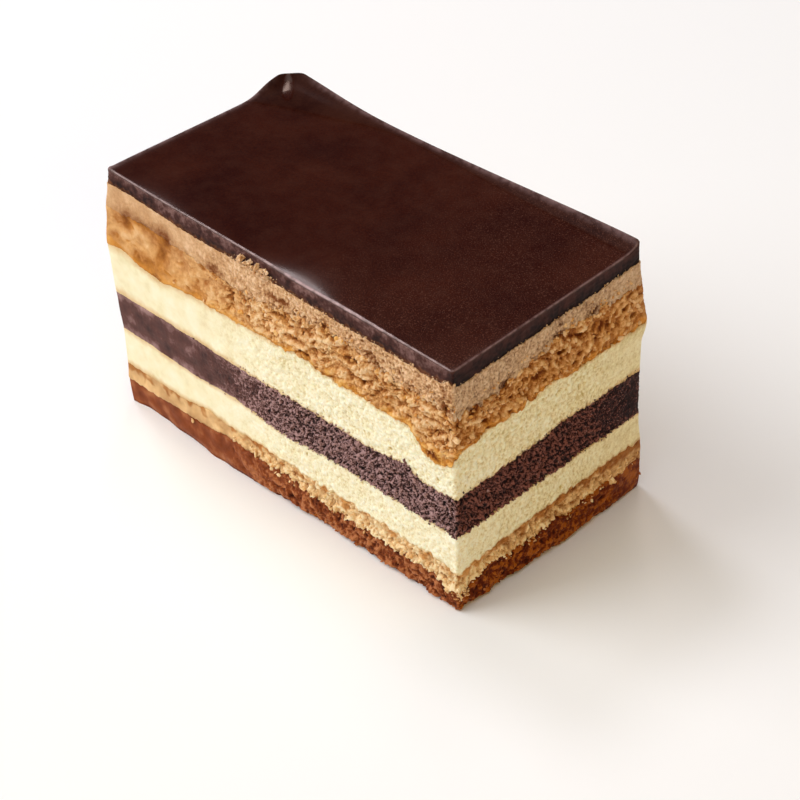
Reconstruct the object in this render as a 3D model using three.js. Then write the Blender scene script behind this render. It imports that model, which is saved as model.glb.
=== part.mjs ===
// A bar of opera cake: eight flat layers, knife-cut on its front and right faces.
// Its left and back faces stood against the baking frame, where the glaze climbed a little.
// Millimetres, +Z up, the origin at the middle of the underside, the long side along X.

import * as THREE from "three";
import { mergeVertices } from "three/addons/utils/BufferGeometryUtils.js";

// Overall size of the bar, without the glaze that climbs at the back.
const LENGTH = 66.4;
const WIDTH = 34.9;
const HEIGHT = 40;
const HALF_X = LENGTH / 2;
const HALF_Y = WIDTH / 2;

// Plan outline: three sharp cut corners and the round one of the frame.
const CUT_RADIUS = 0.4;
const FRAME_RADIUS = 3;
const LEAST_RADIUS = 0.08;
const CUT_REACH = 2.6;
const FRAME_REACH = 3.6;
const CUT_STEPS = 2;
const FRAME_STEPS = 5;
const LONG_STEPS = 39;
const SHORT_STEPS = 19;
const CUT = { radius: CUT_RADIUS, reach: CUT_REACH, steps: CUT_STEPS };
const FRAMED = { radius: FRAME_RADIUS, reach: FRAME_REACH, steps: FRAME_STEPS };
const CORNERS = [
  { x: -HALF_X, y: -HALF_Y, ...CUT },
  { x: HALF_X, y: -HALF_Y, ...CUT },
  { x: HALF_X, y: HALF_Y, ...CUT },
  { x: -HALF_X, y: HALF_Y, ...FRAMED },
];

// Rings of a layer's upper and lower faces, by their distance from the wall.
const RIM_INSET = 2;
const CORE_INSET = 6;
const CORE_EVERY = 4;
const SEAM_GAP = 0.1;

// The walls, in the order in which the outline runs, and where each begins.
const FACES = ["front", "right", "back", "left"];
const FACE_LENGTHS = [LENGTH, WIDTH, LENGTH, WIDTH];
const NORMALS = [[0, -1], [1, 0], [0, 1], [-1, 0]].map(([x, y]) => new THREE.Vector2(x, y));
const PERIMETER = 2 * (LENGTH + WIDTH);

// How far a point of a wall is along the outline, which starts at the front left corner.
function along(face, distance) {
  const index = FACES.indexOf(face);
  const start = FACE_LENGTHS.slice(0, index).reduce((sum, length) => sum + length, 0);
  return start + distance;
}

// A place on the walls where something leaves its level, by an amount that fades over a reach on
// both sides.
function local(face, distance, amount, reach, power = 2) {
  return { at: along(face, distance), amount, reach, power };
}

// The glaze's surface over HEIGHT at the corners: front left, front right, back right, back left.
const GLAZE_TILT = [0.6, -0.15, 0.5, -0.55];

// The seams between the layers, from the top: depth under HEIGHT at the same corners, waviness and
// local dips.
const SEAMS = [
  {
    corners: [1.9, 3.1, 1.9, 2.4],
    sway: 0.05,
    dips: [local("front", 5, -0.2, 6), local("front", 18, 0.3, 7)],
  },
  {
    corners: [5.5, 7, 5, 6],
    sway: 0.25,
    dips: [
      local("front", 25, 0.6, 8),
      local("front", 45, -1.2, 8),
      local("right", 6, 0.8, 4),
      local("right", 20, -0.4, 5),
    ],
  },
  {
    corners: [12.4, 13.4, 11.7, 12.5],
    sway: 0.06,
    dips: [
      local("front", 3, -0.6, 3),
      local("front", 10.5, 1.1, 4),
      local("front", 38.5, -0.8, 3.5),
      local("front", 62.8, 3.1, 3.2, 4),
      local("right", 0, 0.7, 2.5),
      local("right", 16.5, -0.9, 4),
    ],
  },
  {
    corners: [20.2, 20.7, 19.4, 19.8],
    sway: 0.06,
    dips: [local("front", 56, -0.7, 3), local("front", 62, 0.3, 2.5), local("right", 20, -0.5, 3)],
  },
  {
    corners: [26.5, 27.1, 26.8, 26.9],
    sway: 0.05,
    dips: [local("front", 15, 0.5, 7), local("front", 33, 1.1, 6.5)],
  },
  {
    corners: [33, 32.9, 31.4, 32.2],
    sway: 0.1,
    dips: [local("front", 18, -0.7, 2.5), local("front", 28, -0.5, 6), local("right", 0, 0.7, 2)],
  },
  {
    corners: [35.9, 36.1, 35, 35.6],
    sway: 0.1,
    dips: [local("front", 24, -0.6, 6), local("front", 34.5, -0.6, 4), local("right", 0, 0.5, 2)],
  },
];

// Waves of the seams: how many run round the bar, and how their strength falls with their number.
const WAVE_COUNTS = [5, 9, 14, 23];
const GOLDEN_ANGLE = 2.39996;

// Walls lean and belly a little: outward shift along X and Y, by height, of the corners front left,
// front right, back right and back left.
const BELLY_LEVELS = [0, 4, 8, 12, 18, 22, 25, 28.5, 34, 38, 40];
const BELLY = [
  [0.5, 0.6, 0.5, 0.45, 0.65, 0.8, 0.85, 0.95, 0.6, 0.2, 0],
  [0.1, 0.1, 0.1, 0.1, 0.1, 0.1, 0.1, 0.1, 0.1, 0.1, 0.1],
  [0.7, 0.75, 0.75, 0.5, 0.4, 0.45, 0.5, 0.95, 0.45, 0.1, 0.05],
  [0.2, 0.2, 0.2, 0.2, 0.2, 0.2, 0.2, 0.3, 0.2, 0.1, 0],
];

// The layers, from the top. edge is how far the wall stands back at its lower edge, middle and upper edge,
// crag the depth of its torn crumb, rows the steps of its wall and swells the places where it stands out.
const LAYERS = [
  { name: "glaze", colour: 0x3a1d16, roughness: 0.18, edge: [0.1, 0.1, 0.12], crag: 0, rows: 2 },
  { name: "coffee_cream", colour: 0xc99d71, roughness: 0.6, edge: [0.15, 0.1, 0.15], crag: 0.25, rows: 2 },
  { name: "coffee_sponge", colour: 0xbf8a52, roughness: 0.85, edge: [0, 0.1, 0.15], crag: 0.6, rows: 5 },
  { name: "upper_cream", colour: 0xf3e6bf, roughness: 0.55, edge: [0.15, 0.1, 0.2], crag: 0.1, rows: 2 },
  { name: "cocoa_sponge", colour: 0x5b3c34, roughness: 0.9, edge: [0.2, 0.15, 0.15], crag: 0.3, rows: 3 },
  { name: "lower_cream", colour: 0xf3e6bf, roughness: 0.55, edge: [0.15, 0.1, 0.15], crag: 0.1, rows: 2 },
  { name: "plain_sponge", colour: 0xd2a468, roughness: 0.85, edge: [0.1, 0.1, 0.15], crag: 0.3, rows: 2 },
  {
    name: "base_sponge",
    colour: 0x84481f,
    roughness: 0.8,
    edge: [0.25, 0, 0.1],
    crag: 0.4,
    rows: 4,
    swells: [local("front", 3, -0.4, 6), local("front", 24, 0.6, 12), local("right", 20, 0.6, 12)],
  },
];

// Grain of the torn crumb, along the wall and up it, and the constants of its scatter.
const CRAG_WIDTH = 3.4;
const CRAG_HEIGHT = 2.1;
const SCATTER = { i: 127.1, j: 311.7, seed: 74.7, scale: 43758.5453 };

// The glaze climbs the frame: its rise at the back and left walls, and how fast it falls away from them.
const BACK_RISE = 0.25;
const BACK_END_RISE = 1;
const BACK_END_REACH = 26;
const LEFT_RISE = 0.1;
const CORNER_RISE = 1.8;
const CORNER_BACK_REACH = 12;
const CORNER_LEFT_REACH = 6.8;
const RISE_WIDTH = 0.9;
const CORNER_WIDTH = 2.2;
const GLAZE_RINGS = [0.7, 2, 4.5];

// Points nearer to each other than this are one point.
const SAME_POINT = 1e-4;

const smooth = (t) => THREE.MathUtils.smoothstep(t, 0, 1);
const bell = (distance, reach, power = 2) => Math.exp(-((Math.abs(distance) / reach) ** power));

// A repeatable number from 0 to 1 for a cell of a grid.
function hash(i, j, seed) {
  const value = Math.sin(i * SCATTER.i + j * SCATTER.j + seed * SCATTER.seed) * SCATTER.scale;
  return value - Math.floor(value);
}

// Smooth lumps from 0 to 1 over the walls, which join up round the bar.
function lumps(s, z, seed) {
  const cells = Math.round(PERIMETER / CRAG_WIDTH);
  const u = (s / PERIMETER) * cells;
  const v = z / CRAG_HEIGHT;
  const i = Math.floor(u);
  const j = Math.floor(v);
  const corner = (a, b) => hash((i + a) % cells, j + b, seed);
  const across = smooth(u - i);
  const lower = THREE.MathUtils.lerp(corner(0, 0), corner(1, 0), across);
  const upper = THREE.MathUtils.lerp(corner(0, 1), corner(1, 1), across);
  return THREE.MathUtils.lerp(lower, upper, smooth(v - j));
}

// Distance along the outline between two of its points, the shorter way round.
function apart(s, t) {
  const gap = Math.abs(s - t) % PERIMETER;
  return Math.min(gap, PERIMETER - gap);
}

// A level that is given at the four corners, at a place of the plan.
function tilted(corners, x, y) {
  const right = 0.5 + (0.5 * x) / HALF_X;
  const back = 0.5 + (0.5 * y) / HALF_Y;
  const front = THREE.MathUtils.lerp(corners[0], corners[1], right);
  return THREE.MathUtils.lerp(front, THREE.MathUtils.lerp(corners[3], corners[2], right), back);
}

// What the local places add up to at a place on the outline.
function localSum(places, s) {
  const amounts = places.map((place) => place.amount * bell(apart(s, place.at), place.reach, place.power));
  return amounts.reduce((sum, amount) => sum + amount, 0);
}

// The waviness of a seam of unit strength.
function wave(index, s) {
  const turn = (2 * Math.PI * s) / PERIMETER;
  const waves = WAVE_COUNTS.map((count, n) => {
    const phase = GOLDEN_ANGLE * (index * WAVE_COUNTS.length + n);
    return Math.sin(count * turn + phase) / (n + 1);
  });
  return waves.reduce((sum, height) => sum + height, 0);
}

// Height of the seam with this index near the walls.
function seamHeight(index, station) {
  const seam = SEAMS[index];
  const level = tilted(seam.corners, station.levelX, station.levelY);
  return HEIGHT - level - localSum(seam.dips, station.s) - seam.sway * wave(index, station.s);
}

// Height of the glaze's surface over the plan.
function glazeHeight(x, y) {
  const fromBack = HALF_Y - y;
  const fromLeft = HALF_X + x;
  const fromRight = HALF_X - x;
  const fall = (distance, rise, corner) =>
    rise * Math.exp(-distance / RISE_WIDTH) + corner * Math.exp(-distance / CORNER_WIDTH);
  const backRise = BACK_RISE + BACK_END_RISE * bell(fromRight, BACK_END_REACH);
  const back = fall(fromBack, backRise, CORNER_RISE * bell(fromLeft, CORNER_BACK_REACH));
  const left = fall(fromLeft, LEFT_RISE, CORNER_RISE * bell(fromBack, CORNER_LEFT_REACH, 4));
  return HEIGHT + tilted(GLAZE_TILT, x, y) + Math.hypot(back, left);
}

// How far a corner's walls belly out at a height.
function belly(shifts, z) {
  const above = BELLY_LEVELS.findIndex((level) => level > z);
  if (above < 0) return shifts[shifts.length - 1];
  const low = BELLY_LEVELS[above - 1];
  const part = smooth((z - low) / (BELLY_LEVELS[above] - low));
  return THREE.MathUtils.lerp(shifts[above - 1], shifts[above], part);
}

// Moves a point of the straight bar to its place in the bellied one.
function settle(x, y, z) {
  const shifts = BELLY.map((corner) => belly(corner, z));
  const outward = (signs) => tilted(shifts.map((shift, corner) => shift * signs[corner]), x, y);
  return new THREE.Vector3(x + outward([-1, 1, 1, -1]), y + outward([-1, -1, 1, 1]), z);
}

// The stations of a corner, from the wall before it to the wall after it. levelX and levelY are where the
// layers' levels are read: one place for the whole of a cut corner.
function cornerStations(corner, index) {
  const isCut = corner.radius === CUT_RADIUS;
  const before = NORMALS.at(index - 1);
  const after = NORMALS[index];
  const stations = [];
  for (let step = 0; step <= corner.steps; step += 1) {
    const part = step / corner.steps;
    const turn = (part * Math.PI) / 2;
    const normal = before.clone().multiplyScalar(Math.cos(turn)).addScaledVector(after, Math.sin(turn));
    const x = corner.x - Math.sign(corner.x) * corner.radius + corner.radius * normal.x;
    const y = corner.y - Math.sign(corner.y) * corner.radius + corner.radius * normal.y;
    const level = isCut ? corner : { x, y };
    const s = along(FACES[index], isCut ? 0 : corner.radius * (2 * part - 1));
    stations.push({ x, y, levelX: level.x, levelY: level.y, normal, corner, s });
  }
  return stations;
}

// The stations of a wall, between the corners at its ends.
function wallStations(corner, next, index) {
  const length = FACE_LENGTHS[index];
  const normal = NORMALS[index];
  const steps = length === LENGTH ? LONG_STEPS : SHORT_STEPS;
  const stations = [];
  for (let step = 0; step <= steps; step += 1) {
    const distance = THREE.MathUtils.lerp(corner.reach, length - next.reach, step / steps);
    const x = corner.x - normal.y * distance;
    const y = corner.y + normal.x * distance;
    stations.push({ x, y, levelX: x, levelY: y, normal, s: along(FACES[index], distance) });
  }
  return stations;
}

// Stations round the outline, each with its point, outward normal and distance along the outline.
const STATIONS = CORNERS.flatMap((corner, index) => [
  ...cornerStations(corner, index),
  ...wallStations(corner, CORNERS[(index + 1) % CORNERS.length], index),
]);

// The point of a station's ring at a distance in from the wall.
function insetPoint(station, inset, z) {
  const { corner, normal } = station;
  if (!corner) {
    const clip = Math.max(inset, 0);
    const alongX = THREE.MathUtils.clamp(station.x, clip - HALF_X, HALF_X - clip);
    const alongY = THREE.MathUtils.clamp(station.y, clip - HALF_Y, HALF_Y - clip);
    const x = normal.x ? station.x - normal.x * inset : alongX;
    const y = normal.y ? station.y - normal.y * inset : alongY;
    return settle(x, y, z);
  }
  const left = corner.radius - inset;
  const radius = left < LEAST_RADIUS ? 0 : left;
  const keep = Math.max(corner.radius, inset);
  const x = corner.x - Math.sign(corner.x) * keep + radius * normal.x;
  const y = corner.y - Math.sign(corner.y) * keep + radius * normal.y;
  return settle(x, y, z);
}

// How far a layer's wall stands back from the cut plane at a height part of the way up it.
function standBack(layer, index, station, z, part) {
  const [low, middle, high] = layer.edge;
  const edge = part < 0.5
    ? THREE.MathUtils.lerp(low, middle, smooth(2 * part))
    : THREE.MathUtils.lerp(middle, high, smooth(2 * part - 1));
  return edge + layer.crag * lumps(station.s, z, index) - localSum(layer.swells ?? [], station.s);
}

// One ring of a layer's wall, part of the way from its lower edge to its upper one.
function wallRing(layer, index, part, below, above) {
  return STATIONS.map((station) => {
    const z = THREE.MathUtils.lerp(below(station), above(station), part);
    return insetPoint(station, standBack(layer, index, station, z, part), z);
  });
}

const samePlace = (a, b) => a.distanceTo(b) < SAME_POINT;

function addTriangle(positions, a, b, c) {
  if (samePlace(a, b) || samePlace(b, c) || samePlace(c, a)) return;
  positions.push(...a.toArray(), ...b.toArray(), ...c.toArray());
}

// Joins two rings of equal length, the first one lower or further out.
function addBand(positions, first, second) {
  first.forEach((point, i) => {
    const next = (i + 1) % first.length;
    addTriangle(positions, point, first[next], second[next]);
    addTriangle(positions, point, second[next], second[i]);
  });
}

// Closes a face from a ring inwards: fewer points round the core, then a fan to its middle.
// The core follows the levels of the face at the four corners.
function addCore(positions, rim, corners) {
  const lay = (point) => point.setZ(tilted(corners, point.x, point.y));
  const kept = STATIONS.filter((_, i) => i % CORE_EVERY === 0);
  const core = kept.map((station) => lay(insetPoint(station, CORE_INSET, 0)));
  const middle = lay(settle(0, 0, 0));
  core.forEach((point, k) => {
    const next = core[(k + 1) % core.length];
    const first = k * CORE_EVERY;
    const last = Math.min(first + CORE_EVERY, rim.length);
    for (let i = first; i < last; i += 1) {
      addTriangle(positions, rim[i], rim[(i + 1) % rim.length], point);
    }
    addTriangle(positions, rim[last % rim.length], next, point);
    addTriangle(positions, point, next, middle);
  });
}

// Turns triangles over, in place.
function flipTriangles(positions) {
  for (let i = 0; i < positions.length; i += 9) {
    for (let axis = 0; axis < 3; axis += 1) {
      const second = i + 3 + axis;
      const third = i + 6 + axis;
      [positions[second], positions[third]] = [positions[third], positions[second]];
    }
  }
}

// The closed body of a layer: its wall, upper face and lower face.
function layerGeometry(layer, index) {
  const isGlaze = index === 0;
  const isBase = index === LAYERS.length - 1;
  const above = isGlaze
    ? (station) => glazeHeight(station.levelX, station.levelY)
    : (station) => seamHeight(index - 1, station) - SEAM_GAP / 2;
  const below = isBase ? () => 0 : (station) => seamHeight(index, station) + SEAM_GAP / 2;

  const rings = [];
  for (let row = 0; row <= layer.rows; row += 1) {
    rings.push(wallRing(layer, index, row / layer.rows, below, above));
  }
  const walls = [];
  for (let row = 0; row < layer.rows; row += 1) {
    addBand(walls, rings[row], rings[row + 1]);
  }

  const upper = [];
  let outer = rings[layer.rows];
  if (isGlaze) {
    for (const inset of GLAZE_RINGS) {
      const ring = STATIONS.map((station) => {
        const point = insetPoint(station, inset, HEIGHT);
        point.z = glazeHeight(point.x, point.y);
        return point;
      });
      addBand(upper, outer, ring);
      outer = ring;
    }
    addCore(upper, outer, GLAZE_TILT.map((tilt) => HEIGHT + tilt));
  } else {
    const rim = STATIONS.map((station) => insetPoint(station, RIM_INSET, above(station)));
    addBand(upper, outer, rim);
    addCore(upper, rim, SEAMS[index - 1].corners.map((depth) => HEIGHT - depth - SEAM_GAP / 2));
  }

  const lower = [];
  const rim = STATIONS.map((station) => insetPoint(station, RIM_INSET, below(station)));
  addBand(lower, rings[0], rim);
  const floor = isBase ? [0, 0, 0, 0] : SEAMS[index].corners.map((depth) => HEIGHT - depth + SEAM_GAP / 2);
  addCore(lower, rim, floor);
  flipTriangles(lower);

  const geometry = new THREE.BufferGeometry();
  const positions = new THREE.Float32BufferAttribute([...walls, ...upper, ...lower], 3);
  geometry.setAttribute("position", positions);
  const merged = mergeVertices(geometry, SAME_POINT);
  merged.computeVertexNormals();
  return merged;
}

const cake = new THREE.Group();
cake.name = "opera_cake";
LAYERS.forEach((layer, index) => {
  const { name, colour: color, roughness } = layer;
  const material = new THREE.MeshStandardMaterial({ color, roughness, metalness: 0 });
  const mesh = new THREE.Mesh(layerGeometry(layer, index), material);
  mesh.name = name;
  cake.add(mesh);
});

export default cake;
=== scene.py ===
"""A bar of opera cake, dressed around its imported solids.

Each layer is one closed mesh. It follows the solid's walls and seams, and adds the relief of what it is made
of: torn crumb, cream dragged by the knife, or poured glaze. Loose crumbs cling to the cut walls. Sizes are
millimetres until a mesh is made.
"""

import math

import bmesh
import bpy
import numpy as np
from mathutils import Matrix


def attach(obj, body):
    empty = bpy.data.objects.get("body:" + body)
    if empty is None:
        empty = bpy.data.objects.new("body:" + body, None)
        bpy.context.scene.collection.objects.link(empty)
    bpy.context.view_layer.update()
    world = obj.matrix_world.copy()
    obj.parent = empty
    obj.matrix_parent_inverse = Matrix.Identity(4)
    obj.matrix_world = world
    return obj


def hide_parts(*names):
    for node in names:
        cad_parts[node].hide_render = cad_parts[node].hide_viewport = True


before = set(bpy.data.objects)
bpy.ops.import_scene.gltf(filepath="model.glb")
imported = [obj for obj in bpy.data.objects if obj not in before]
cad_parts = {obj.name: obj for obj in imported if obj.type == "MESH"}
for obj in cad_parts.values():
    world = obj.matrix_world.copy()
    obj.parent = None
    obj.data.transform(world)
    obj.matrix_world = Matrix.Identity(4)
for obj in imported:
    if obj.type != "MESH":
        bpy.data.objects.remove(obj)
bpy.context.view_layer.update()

MM = 0.001

# ---- the bar's shape, as its solids have it

LENGTH = 66.4
WIDTH = 34.9
HEIGHT = 40.0
HALF_X = LENGTH / 2
HALF_Y = WIDTH / 2
CUT_RADIUS = 0.4
FRAME_RADIUS = 3.0

FACES = ("front", "right", "back", "left")
FACE_LENGTHS = (LENGTH, WIDTH, LENGTH, WIDTH)
NORMALS = np.array([[0, -1], [1, 0], [0, 1], [-1, 0]], float)
PERIMETER = 2 * (LENGTH + WIDTH)
CORNERS = (
    (-HALF_X, -HALF_Y, CUT_RADIUS),
    (HALF_X, -HALF_Y, CUT_RADIUS),
    (HALF_X, HALF_Y, CUT_RADIUS),
    (-HALF_X, HALF_Y, FRAME_RADIUS),
)


def along(face, distance):
    """How far a point of a wall is along the outline, which starts at the front left corner."""
    return sum(FACE_LENGTHS[: FACES.index(face)]) + distance


def spots(**faces):
    """Places on the walls where something leaves its level. Each has its distance along its face, the amount,
    the reach over which that fades, and how sharply it does, if not as a plain bell."""
    return [(along(face, distance), *rest) for face, rows in faces.items() for distance, *rest in rows]


# The glaze's surface over HEIGHT at the corners: front left, front right, back right, back left.
GLAZE_TILT = (0.6, -0.15, 0.5, -0.55)

# The seams from the top: depth under HEIGHT at the corners, waviness, how ragged they are at a coarse and a
# fine scale, and local dips, among them the places where one layer is smeared over the next.
SEAMS = (
    dict(
        corners=(1.9, 3.1, 1.9, 2.4), sway=0.05, ragged=(0.14, 0.12),
        dips=spots(front=[(5, -0.2, 6), (18, 0.3, 7), (65.4, -0.9, 0.9)], right=[(0.3, -0.5, 0.5)]),
    ),
    dict(
        corners=(5.5, 7, 5, 6), sway=0.25, ragged=(0.7, 0.4),
        dips=spots(front=[(25, 0.6, 8), (45, -1.2, 8)], right=[(6, 0.8, 4), (20, -0.4, 5)]),
    ),
    dict(
        corners=(12.4, 13.4, 11.7, 12.5), sway=0.06, ragged=(0.28, 0.2),
        dips=spots(
            front=[(3, -0.6, 3), (10.5, 1.1, 4), (38.5, -0.8, 3.5), (62.8, 3.1, 3.2, 4), (50, -0.4, 62, 6)],
            right=[(0, 0.7, 2.5), (16.5, -0.9, 4)],
        ),
    ),
    dict(
        corners=(20.2, 20.7, 19.4, 19.8), sway=0.06, ragged=(0.16, 0.14),
        dips=spots(front=[(56, -0.7, 3), (62, 0.3, 2.5), (57.9, -0.7, 0.7)], right=[(20, -0.5, 3)]),
    ),
    dict(
        corners=(26.5, 27.1, 26.8, 26.9), sway=0.05, ragged=(0.14, 0.12),
        dips=spots(front=[(15, 0.5, 7), (33, 1.1, 6.5)]),
    ),
    dict(
        corners=(33, 32.9, 31.4, 32.2), sway=0.1, ragged=(0.4, 0.18),
        dips=spots(front=[(18, -0.7, 2.5), (28, -0.5, 6)], right=[(0, 0.7, 2)]),
    ),
    dict(
        corners=(35.9, 36.1, 35, 35.6), sway=0.1, ragged=(0.6, 0.2),
        dips=spots(
            front=[(24, -0.6, 6), (34.5, -0.6, 4), (50, -0.45, 62, 6), (65, 0.9, 1.2)],
            right=[(0, 0.5, 2), (1, 0.7, 1)],
        ),
    ),
)
WAVE_COUNTS = (5, 9, 14, 23)
GOLDEN_ANGLE = 2.39996
RAGGED_SIZES = (1.6, 0.5)

# Walls lean and belly a little: outward shift along X and Y, by height, of the corners front left,
# front right, back right and back left.
BELLY_LEVELS = np.array([0, 4, 8, 12, 18, 22, 25, 28.5, 34, 38, 40], float)
BELLY = np.array(
    [
        [0.5, 0.6, 0.5, 0.45, 0.65, 0.8, 0.85, 0.95, 0.6, 0.2, 0],
        [0.1] * len(BELLY_LEVELS),
        [0.7, 0.75, 0.75, 0.5, 0.4, 0.45, 0.5, 0.95, 0.45, 0.1, 0.05],
        [0.2, 0.2, 0.2, 0.2, 0.2, 0.2, 0.2, 0.3, 0.2, 0.1, 0],
    ]
)

# The glaze climbs the frame: its rise at the back and left walls, and how fast it falls away from them.
BACK_RISE = 0.25
BACK_END_RISE = 1.0
BACK_END_REACH = 26
LEFT_RISE = 0.1
CORNER_RISE = 1.8
CORNER_BACK_REACH = 12
CORNER_LEFT_REACH = 6.8
RISE_WIDTH = 0.9
CORNER_WIDTH = 2.2

# Where coffee has soaked through the crumb of the cut faces: distance along the face, depth under HEIGHT,
# half length, half height and strength.
STAINS = {
    "front": (
        (4.5, 6.0, 0.8, 0.9, 1.6),
        (8.4, 5.5, 3.4, 0.55, 1.2),
        (12.5, 5.7, 0.9, 1.0, 1.6),
        (11.6, 8.2, 1.0, 2.2, 1.2),
        (9.6, 11.2, 1.9, 1.0, 0.9),
        (22.2, 5.8, 1.2, 0.6, 1.0),
        (34.8, 4.8, 1.6, 0.35, 1.1),
        (35.3, 7.2, 1.4, 0.8, 0.8),
        (43.6, 4.9, 0.5, 0.9, 1.2),
        (47.5, 7.6, 1.6, 0.7, 0.8),
        (52.0, 5.1, 1.1, 0.6, 1.0),
        (58.0, 8.6, 1.4, 0.8, 0.7),
        (62.6, 15.4, 1.1, 0.6, 1.3),
        (65.0, 7.0, 0.7, 2.2, 0.8),
    ),
    "right": (
        (3.6, 8.0, 0.7, 0.6, 1.1),
        (9.1, 7.2, 0.9, 0.7, 1.1),
        (14.5, 8.8, 1.4, 0.8, 0.8),
        (19.0, 4.9, 0.9, 0.5, 1.0),
        (25.5, 4.8, 0.9, 0.5, 1.0),
        (27.0, 7.8, 2.0, 0.9, 0.7),
    ),
}
STAIN_SHARPNESS = 1.5

# The share of their relief that the walls lose near their outer upright edges.
EDGE_CALM = spots(front=[(0, 0.8, 3.5)], right=[(WIDTH, 0.6, 3)])

# Where the crumb is smeared, so that it's smoother: the far part of the front face, the far end of the right
# one, and a little all along the walls that stood against the frame. Elsewhere it's crisper than its relief.
CRISPEST = 1.3
SMEARS = spots(
    front=[(9, 1.05, 20, 3)],
    right=[(WIDTH, 0.4, 10, 3)],
    back=[((LENGTH + WIDTH) / 2, 0.35, 50, 8)],
)
SMEAR_CELLS = 6
SMEARED_RAGGED = 0.4

# Where the base stands out or back.
BASE_SWELLS = spots(front=[(3, -0.4, 6), (24, 0.6, 12)], right=[(20, 0.6, 12)])


def smooth(t):
    t = np.clip(t, 0, 1)
    return t * t * (3 - 2 * t)


def lerp(a, b, t):
    return a + (b - a) * t


def bell(distance, reach, power=2):
    return np.exp(-((np.abs(distance) / reach) ** power))


def tilted(corners, x, y):
    """A level that is given at the four corners, at places of the plan."""
    right = 0.5 + 0.5 * x / HALF_X
    back = 0.5 + 0.5 * y / HALF_Y
    return lerp(lerp(corners[0], corners[1], right), lerp(corners[3], corners[2], right), back)


def local_sum(rows, s):
    """What spots add up to along the outline."""
    total = np.zeros_like(s)
    for at, amount, *shape in rows:
        gap = np.abs(s - at) % PERIMETER
        total += amount * bell(np.minimum(gap, PERIMETER - gap), *shape)
    return total


def settle(x, y, z):
    """Moves points of the straight bar to their places in the bellied one."""
    low = np.clip(np.searchsorted(BELLY_LEVELS, z, side="right") - 1, 0, len(BELLY_LEVELS) - 2)
    part = smooth((z - BELLY_LEVELS[low]) / (BELLY_LEVELS[low + 1] - BELLY_LEVELS[low]))
    shifts = [lerp(corner[low], corner[low + 1], part) for corner in BELLY]
    sign_x = (-1, 1, 1, -1)
    sign_y = (-1, -1, 1, 1)
    out_x = tilted([shift * sign for shift, sign in zip(shifts, sign_x)], x, y)
    out_y = tilted([shift * sign for shift, sign in zip(shifts, sign_y)], x, y)
    return np.stack([x + out_x, y + out_y, z], axis=-1)


# ---- noise

rng = np.random.default_rng(7)
GRADIENTS = rng.normal(size=(256, 3))
GRADIENTS /= np.linalg.norm(GRADIENTS, axis=1, keepdims=True)
FEATURES = rng.random((4096, 4))
CELL_PRIMES = np.array([73856093, 19349663, 83492791], np.int64)
SEED_PRIME = 2654435761
MIX_PRIME = 1274126177
WORD = 0xFFFFFFFF
PERLIN_GAIN = 1.7
UNIT_CUBE = np.array([[i, j, k] for i in (0, 1) for j in (0, 1) for k in (0, 1)])
NEAR_CELLS = np.array([[i, j, k] for i in (-1, 0, 1) for j in (-1, 0, 1) for k in (-1, 0, 1)])
LEAST_BUBBLE = 0.35
MOST_BUBBLE = 0.85
FLAKE_ROUNDING = 0.35
FLAKE_FALL = 1.45
BUBBLE_SHARE = 0.35
BUBBLE_SCALE = 0.8
BUBBLE_SEED = 40
BUBBLE_OCTAVES = 2
BUBBLE_FALL = 1.5
OCTAVE_BEND = 0.35
MEAN_CRUMB = 0.4
LEAST_PIT = 0.5


def scatter(cells, seed):
    """A repeatable whole number for each cell of a lattice."""
    mixed = (cells * CELL_PRIMES) & WORD
    value = mixed[..., 0] ^ mixed[..., 1] ^ mixed[..., 2] ^ ((seed * SEED_PRIME) & WORD)
    value = (value ^ (value >> 13)) * MIX_PRIME & WORD
    return value ^ (value >> 16)


def perlin(points, size, seed):
    """Smooth noise from about -1 to 1, with lumps of a size, which may differ along the axes."""
    p = points / size
    cell = np.floor(p).astype(np.int64)
    f = p - cell
    fade = f * f * f * (f * (f * 6 - 15) + 10)
    total = np.zeros(p.shape[:-1])
    for corner in UNIT_CUBE:
        gradient = GRADIENTS[scatter(cell + corner, seed) % len(GRADIENTS)]
        weight = np.where(corner == 1, fade, 1 - fade).prod(axis=-1)
        total += weight * (gradient * (f - corner)).sum(axis=-1)
    return PERLIN_GAIN * total


def oblong(wide, tall):
    """A size of noise whose lumps are as wide along the walls as they're deep, but not as tall."""
    return np.array([wide, wide, tall])


def fractal(points, size, seed, octaves=3):
    """Perlin noise with finer and weaker copies of itself."""
    total = np.zeros(points.shape[:-1])
    for octave in range(octaves):
        total += perlin(points, np.asarray(size) / 2**octave, seed + octave) / 2**octave
    return total


def warped(places, amount, size, seed):
    """Places pushed about by noise, so that what is read there has no grid to it."""
    push = np.stack([perlin(places, size, seed + axis) for axis in range(3)], axis=-1)
    return places + amount * push


def near_features(points, size, seed):
    """For each cell of a lattice near the points, its random number and how far its feature is, squared."""
    p = points / size
    cell = np.floor(p).astype(np.int64)
    for step in NEAR_CELLS:
        feature = FEATURES[scatter(cell + step, seed) % len(FEATURES)]
        yield feature[..., 3], ((cell + step + feature[..., :3] - p) ** 2).sum(axis=-1)


def foam(points, size, seed):
    """The bubbles of cut crumb: 1 at the bottom of the largest, 0 on the thin walls between them."""
    depth = np.zeros(points.shape[:-1])
    for number, squared in near_features(points, size, seed):
        radius = lerp(LEAST_BUBBLE, MOST_BUBBLE, number)
        depth = np.maximum(depth, radius - squared / radius)
    return depth / MOST_BUBBLE


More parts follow.
